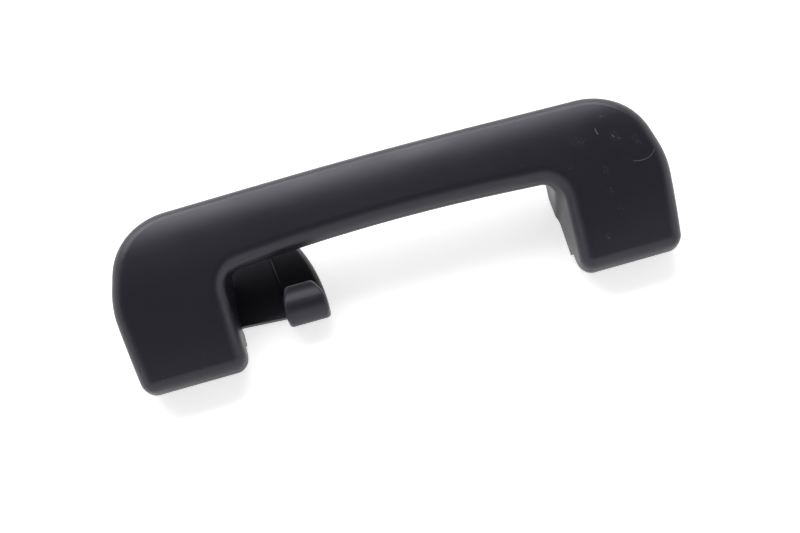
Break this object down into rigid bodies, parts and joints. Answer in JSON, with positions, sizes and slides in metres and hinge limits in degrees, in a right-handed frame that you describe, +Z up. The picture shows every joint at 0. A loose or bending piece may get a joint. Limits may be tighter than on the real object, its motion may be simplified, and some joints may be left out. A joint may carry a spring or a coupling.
{
  "type": "roof grab handle",
  "caption": "Swing-down roof grab handle with a curved hollow bow, two hinged feet, hidden spring and damper, and a fixed coat hook beside one foot",
  "frame": {"origin": "midway between the two fixing holes, on the face that lies against the roof", "axes": "+X along the grip, with the coat hook on the -X side; +Y from the hinge line toward the grip bar; +Z away from the roof, so the handle lies on its back with +Z up"},
  "size_m": [0.2288, 0.0674, 0.036],
  "materials": {
    "bow_plastic": "soft satin, finely grained",
    "hook_plastic": "smooth moulded gloss",
    "bracket_plastic": "moulded, glass filled",
    "cap_plastic": "satin",
    "zinc_steel": "zinc plated",
    "bright_steel": "ground",
    "spring_steel": "drawn wire",
    "buffer_rubber": "plain",
    "damper_plastic": "moulded",
    "rotor_plastic": "natural, slightly waxy"
  },
  "bodies": {
    "roof_mounts": {"coat_hook": "hook_plastic", "left_bracket": "bracket_plastic", "right_bracket": "bracket_plastic", "left_screw_sleeve": "zinc_steel", "right_screw_sleeve": "zinc_steel", "left_cover_cap": "cap_plastic", "right_cover_cap": "cap_plastic", "left_stop_buffer": "buffer_rubber", "right_stop_buffer": "buffer_rubber", "left_hinge_pin": "bright_steel", "right_hinge_pin": "bright_steel", "return_spring": "spring_steel", "damper_housing": "damper_plastic", "damper_cap": "rotor_plastic", "damper_seal": "buffer_rubber"},
    "handle": {"bow": "bow_plastic", "damper_rotor": "rotor_plastic"}
  },
  "joints": [
    {"name": "bow_swing", "type": "hinge", "parent": "roof_mounts", "child": "handle", "pos_m": [0, -0.0195, 0.01], "axis": [1, 0, 0], "range_deg": [0, 70], "stiffness_Nm_per_rad": 0.12, "springref_deg": -45.84, "deforming": ["return_spring"]}
  ]
}
